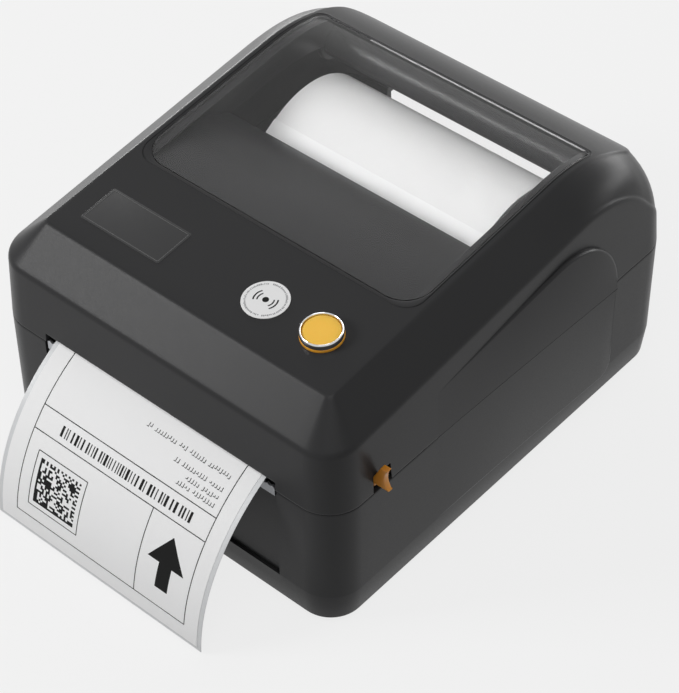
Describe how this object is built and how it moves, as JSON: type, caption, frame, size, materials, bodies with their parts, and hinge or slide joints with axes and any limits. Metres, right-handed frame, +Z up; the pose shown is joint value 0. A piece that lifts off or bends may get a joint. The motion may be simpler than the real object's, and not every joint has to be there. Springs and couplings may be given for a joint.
{
  "type": "thermal label printer",
  "caption": "Desktop thermal label printer with a clamshell lid, clear roll window, side release levers, feed button, loaded label roll and a printed label at the front slot.",
  "frame": {"origin": "centre of the bounding box at the height of the surface it stands on", "axes": "+Z up, -Y the front with the label slot, +X the operator's right when facing the front"},
  "size_m": [0.1834, 0.246, 0.1162],
  "materials": {
    "charcoal": "fine texture",
    "dark_plastic": "satin",
    "gloss_black": "gloss",
    "clear_plastic": "clear",
    "amber_lever": "satin",
    "amber_light": "translucent",
    "chrome_ring": "polished",
    "steel": "brushed",
    "aluminium": "extruded",
    "label_paper": "coated",
    "liner_paper": "glassine",
    "core_card": "plain",
    "platen_rubber": "ground",
    "foot_rubber": "moulded",
    "nylon": "natural",
    "circuit_board": "solder mask",
    "head_ceramic": "glazed",
    "rocker_red": "gloss"
  },
  "bodies": {
    "base": {"base_shell": "charcoal", "side_plates": "steel", "bottom_cover": "charcoal", "rubber_feet": "foot_rubber", "bottom_screws": "steel", "tear_bar": "steel", "media_tray": "dark_plastic", "guide_rod": "steel", "platen_bushings": "nylon", "idler_post": "steel", "stepper_motor": "dark_plastic", "motor_screws": "steel", "main_board": "circuit_board", "usb_port": "steel", "power_jack": "dark_plastic", "switch_housing": "dark_plastic", "label_web": "liner_paper", "printed_label": "label_paper", "latch_pins": "steel", "latch_springs": "steel", "hinge_pins": "steel"},
    "platen": {"platen_rubber": "platen_rubber", "platen_shaft": "steel", "platen_gear": "nylon"},
    "idler": {"idler_gear": "nylon"},
    "motor_rotor": {"motor_shaft": "steel", "motor_pinion": "steel"},
    "rocker": {"power_rocker": "rocker_red"},
    "sensor": {"gap_sensor": "dark_plastic"},
    "left_guide": {"guide_left": "dark_plastic"},
    "right_guide": {"guide_right": "dark_plastic"},
    "guide_gear": {"guide_pinion": "nylon"},
    "left_arm": {"roll_arm_left": "dark_plastic"},
    "right_arm": {"roll_arm_right": "dark_plastic"},
    "arm_gear": {"arm_pinion": "nylon"},
    "roll": {"label_roll": "label_paper", "roll_core": "core_card"},
    "left_latch": {"latch_hook_left": "dark_plastic", "thumb_lever_left": "amber_lever"},
    "right_latch": {"latch_hook_right": "dark_plastic", "thumb_lever_right": "amber_lever"},
    "lid": {"lid_shell": "charcoal", "window_panel": "clear_plastic", "inner_frame": "dark_plastic", "lid_screws": "steel", "latch_strikers": "steel", "name_plate": "gloss_black", "round_disc": "label_paper", "light_ring": "amber_light", "button_bezel": "chrome_ring", "button_spring": "steel", "switch_board": "circuit_board", "head_hanger": "steel", "head_pivot_pin": "steel", "head_springs": "steel"},
    "button": {"button_cap": "amber_light"},
    "head": {"head_bracket": "steel", "heat_sink": "aluminium", "thermal_head": "head_ceramic"}
  },
  "joints": [
    {"name": "lid_hinge", "type": "hinge", "parent": "base", "child": "lid", "pos_m": [0, 0.11921, 0.0604], "axis": [-1, 0, 0], "range_deg": [0, 80]},
    {"name": "left_latch_swing", "type": "hinge", "parent": "base", "child": "left_latch", "pos_m": [0, -0.06089, 0.05], "axis": [-1, 0, 0], "range_deg": [0, 13], "stiffness_Nm_per_rad": 0.3, "springref_deg": -17.19},
    {"name": "right_latch_swing", "type": "hinge", "parent": "base", "child": "right_latch", "pos_m": [0, -0.06089, 0.05], "axis": [-1, 0, 0], "range_deg": [0, 13], "stiffness_Nm_per_rad": 0.3, "springref_deg": -17.19},
    {"name": "button_press", "type": "slide", "parent": "lid", "child": "button", "axis": [0, 0.0985, -0.9951], "range_m": [0, 0.0012], "stiffness_N_per_m": 500, "springref_m": -0.002, "deforming": ["button_spring"]},
    {"name": "head_float", "type": "hinge", "parent": "lid", "child": "head", "pos_m": [0, -0.05189, 0.088], "axis": [-1, 0, 0], "range_deg": [0, 3], "stiffness_Nm_per_rad": 2.5, "springref_deg": -34.38, "deforming": ["head_springs"]},
    {"name": "rocker_tilt", "type": "hinge", "parent": "base", "child": "rocker", "pos_m": [0.052, 0.11311, 0.025], "axis": [0, 0, 1], "range_deg": [-16, 0]},
    {"name": "platen_spin", "type": "hinge", "parent": "base", "child": "platen", "pos_m": [0, -0.07111, 0.06091], "axis": [1, 0, 0], "continuous": true},
    {"name": "idler_spin", "type": "hinge", "parent": "base", "child": "idler", "pos_m": [0, -0.05522, 0.04501], "axis": [1, 0, 0], "continuous": true},
    {"name": "motor_spin", "type": "hinge", "parent": "base", "child": "motor_rotor", "pos_m": [0, -0.05023, 0.02639], "axis": [1, 0, 0], "continuous": true},
    {"name": "roll_spin", "type": "hinge", "parent": "base", "child": "roll", "pos_m": [0, 0.05771, 0.0621], "axis": [1, 0, 0], "continuous": true},
    {"name": "sensor_slide", "type": "slide", "parent": "base", "child": "sensor", "axis": [1, 0, 0], "range_m": [-0.038, 0.038]},
    {"name": "left_guide_slide", "type": "slide", "parent": "base", "child": "left_guide", "axis": [-1, 0, 0], "range_m": [0, 0.004]},
    {"name": "right_guide_slide", "type": "slide", "parent": "base", "child": "right_guide", "axis": [1, 0, 0], "range_m": [0, 0.004]},
    {"name": "guide_gear_spin", "type": "hinge", "parent": "base", "child": "guide_gear", "pos_m": [0, -0.01189, 0.057], "axis": [0, 0, 1], "range_deg": [0, 39]},
    {"name": "left_arm_slide", "type": "slide", "parent": "base", "child": "left_arm", "axis": [-1, 0, 0], "range_m": [0, 0.008]},
    {"name": "right_arm_slide", "type": "slide", "parent": "base", "child": "right_arm", "axis": [1, 0, 0], "range_m": [0, 0.008]},
    {"name": "arm_gear_spin", "type": "hinge", "parent": "base", "child": "arm_gear", "pos_m": [0, 0.05771, 0.018], "axis": [0, 0, 1], "range_deg": [0, 77]}
  ],
  "couplings": [
    {"joint": "idler_spin", "follows": "platen_spin", "ratio": -0.75},
    {"joint": "motor_spin", "follows": "platen_spin", "ratio": 1.5},
    {"joint": "roll_spin", "follows": "platen_spin", "ratio": 0.225},
    {"joint": "right_guide_slide", "follows": "left_guide_slide", "ratio": 1},
    {"joint": "guide_gear_spin", "follows": "left_guide_slide", "rad_per_m": 166.67},
    {"joint": "right_arm_slide", "follows": "left_arm_slide", "ratio": 1},
    {"joint": "arm_gear_spin", "follows": "left_arm_slide", "rad_per_m": 166.67}
  ]
}
